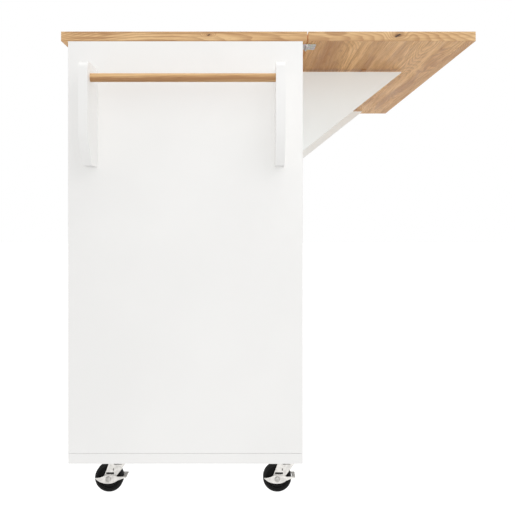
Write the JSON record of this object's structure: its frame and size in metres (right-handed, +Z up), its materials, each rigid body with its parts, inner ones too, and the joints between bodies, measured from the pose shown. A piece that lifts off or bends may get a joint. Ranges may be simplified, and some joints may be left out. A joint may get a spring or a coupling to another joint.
{
  "type": "kitchen island cart",
  "caption": "Rolling white kitchen island with an oak worktop, a raised drop leaf on swing-out supports, drawers, a cupboard and a towel rail on one end.",
  "frame": {"origin": "on the floor, below the centre of the overall box (knobs, towel brackets and raised leaf included)", "axes": "+X from the doors to the drop leaf, +Y from the towel-rail end to the far end, +Z up"},
  "size_m": [0.8116, 1.088, 0.908],
  "materials": {
    "white_board": "satin white painted board",
    "oak": "satin oak, golden brown",
    "zinc_steel": "zinc plated",
    "caster_steel": "bright pressed steel",
    "caster_black": "black moulded tread and hub",
    "nickel": "satin nickel",
    "runner_plastic": "plain off-white plastic"
  },
  "bodies": {
    "cabinet": {"base_board": "white_board", "side_panel_near": "white_board", "side_panel_far": "white_board", "back_panel": "white_board", "drawer_deck": "white_board", "drawer_divider": "white_board", "shelf": "white_board", "worktop": "oak", "towel_bracket_front": "white_board", "towel_bracket_rear": "white_board", "towel_rail": "oak", "leaf_hinge_near_fixed": "zinc_steel", "leaf_hinge_middle_fixed": "zinc_steel", "leaf_hinge_far_fixed": "zinc_steel", "support_hinge_near_fixed": "zinc_steel", "support_hinge_far_fixed": "zinc_steel", "drawer_runner_near_1": "runner_plastic", "drawer_runner_near_2": "runner_plastic", "drawer_runner_far_1": "runner_plastic", "drawer_runner_far_2": "runner_plastic", "door_hinge_near_lower_fixed": "nickel", "door_hinge_near_upper_fixed": "nickel", "door_hinge_far_lower_fixed": "nickel", "door_hinge_far_upper_fixed": "nickel", "caster_plate_front_near": "zinc_steel", "caster_plate_rear_near": "zinc_steel", "caster_plate_front_far": "zinc_steel", "caster_plate_rear_far": "zinc_steel"},
    "leaf": {"drop_leaf": "oak", "leaf_hinge_near_moving": "zinc_steel", "leaf_hinge_middle_moving": "zinc_steel", "leaf_hinge_far_moving": "zinc_steel"},
    "support_near": {"swing_support_near": "white_board", "support_hinge_near_moving": "zinc_steel"},
    "support_far": {"swing_support_far": "white_board", "support_hinge_far_moving": "zinc_steel"},
    "drawer_near": {"drawer_box_near": "white_board", "drawer_front_near": "white_board", "drawer_knob_near": "nickel"},
    "drawer_far": {"drawer_box_far": "white_board", "drawer_front_far": "white_board", "drawer_knob_far": "nickel"},
    "door_near": {"door_near": "white_board", "door_knob_near": "nickel", "door_hinge_near_lower_moving": "nickel", "door_hinge_near_upper_moving": "nickel"},
    "door_far": {"door_far": "white_board", "door_knob_far": "nickel", "door_hinge_far_lower_moving": "nickel", "door_hinge_far_upper_moving": "nickel"},
    "fork_front_near": {"caster_fork_front_near": "caster_steel"},
    "wheel_front_near": {"caster_wheel_front_near": "caster_black"},
    "brake_front_near": {"caster_brake_front_near": "caster_steel"},
    "fork_rear_near": {"caster_fork_rear_near": "caster_steel"},
    "wheel_rear_near": {"caster_wheel_rear_near": "caster_black"},
    "brake_rear_near": {"caster_brake_rear_near": "caster_steel"},
    "fork_front_far": {"caster_fork_front_far": "caster_steel"},
    "wheel_front_far": {"caster_wheel_front_far": "caster_black"},
    "fork_rear_far": {"caster_fork_rear_far": "caster_steel"},
    "wheel_rear_far": {"caster_wheel_rear_far": "caster_black"}
  },
  "joints": [
    {"name": "leaf_hinge", "type": "hinge", "parent": "cabinet", "child": "leaf", "pos_m": [0.08175, 0, 0.887], "axis": [0, -1, 0], "range_deg": [0, 4]},
    {"name": "support_near_swing", "type": "hinge", "parent": "cabinet", "child": "support_near", "pos_m": [0.06075, -0.18, 0.79], "axis": [0, 0, -1], "range_deg": [0, 90]},
    {"name": "support_far_swing", "type": "hinge", "parent": "cabinet", "child": "support_far", "pos_m": [0.06075, 0.4555, 0.79], "axis": [0, 0, -1], "range_deg": [0, 90]},
    {"name": "drawer_near_slide", "type": "slide", "parent": "cabinet", "child": "drawer_near", "axis": [-1, 0, 0], "range_m": [0, 0.3]},
    {"name": "drawer_far_slide", "type": "slide", "parent": "cabinet", "child": "drawer_far", "axis": [-1, 0, 0], "range_m": [0, 0.3]},
    {"name": "door_near_hinge", "type": "hinge", "parent": "cabinet", "child": "door_near", "pos_m": [-0.38265, -0.43975, 0.413], "axis": [0, 0, 1], "range_deg": [0, 110]},
    {"name": "door_far_hinge", "type": "hinge", "parent": "cabinet", "child": "door_far", "pos_m": [-0.38265, 0.52775, 0.413], "axis": [0, 0, -1], "range_deg": [0, 110]},
    {"name": "swivel_front_near", "type": "hinge", "parent": "cabinet", "child": "fork_front_near", "pos_m": [-0.29425, -0.393, 0.066], "axis": [0, 0, 1], "continuous": true},
    {"name": "roll_front_near", "type": "hinge", "parent": "fork_front_near", "child": "wheel_front_near", "pos_m": [-0.31225, -0.393, 0.0284], "axis": [0, 1, 0], "continuous": true},
    {"name": "brake_front_near_pedal", "type": "hinge", "parent": "fork_front_near", "child": "brake_front_near", "pos_m": [-0.31225, -0.393, 0.0284], "axis": [0, 1, 0], "range_deg": [0, 15]},
    {"name": "swivel_rear_near", "type": "hinge", "parent": "cabinet", "child": "fork_rear_near", "pos_m": [0.04245, -0.393, 0.066], "axis": [0, 0, 1], "continuous": true},
    {"name": "roll_rear_near", "type": "hinge", "parent": "fork_rear_near", "child": "wheel_rear_near", "pos_m": [0.02445, -0.393, 0.0284], "axis": [0, 1, 0], "continuous": true},
    {"name": "brake_rear_near_pedal", "type": "hinge", "parent": "fork_rear_near", "child": "brake_rear_near", "pos_m": [0.02445, -0.393, 0.0284], "axis": [0, 1, 0], "range_deg": [0, 15]},
    {"name": "swivel_front_far", "type": "hinge", "parent": "cabinet", "child": "fork_front_far", "pos_m": [-0.29425, 0.481, 0.066], "axis": [0, 0, 1], "continuous": true},
    {"name": "roll_front_far", "type": "hinge", "parent": "fork_front_far", "child": "wheel_front_far", "pos_m": [-0.31225, 0.481, 0.0284], "axis": [0, 1, 0], "continuous": true},
    {"name": "swivel_rear_far", "type": "hinge", "parent": "cabinet", "child": "fork_rear_far", "pos_m": [0.04245, 0.481, 0.066], "axis": [0, 0, 1], "continuous": true},
    {"name": "roll_rear_far", "type": "hinge", "parent": "fork_rear_far", "child": "wheel_rear_far", "pos_m": [0.02445, 0.481, 0.0284], "axis": [0, 1, 0], "continuous": true}
  ]
}
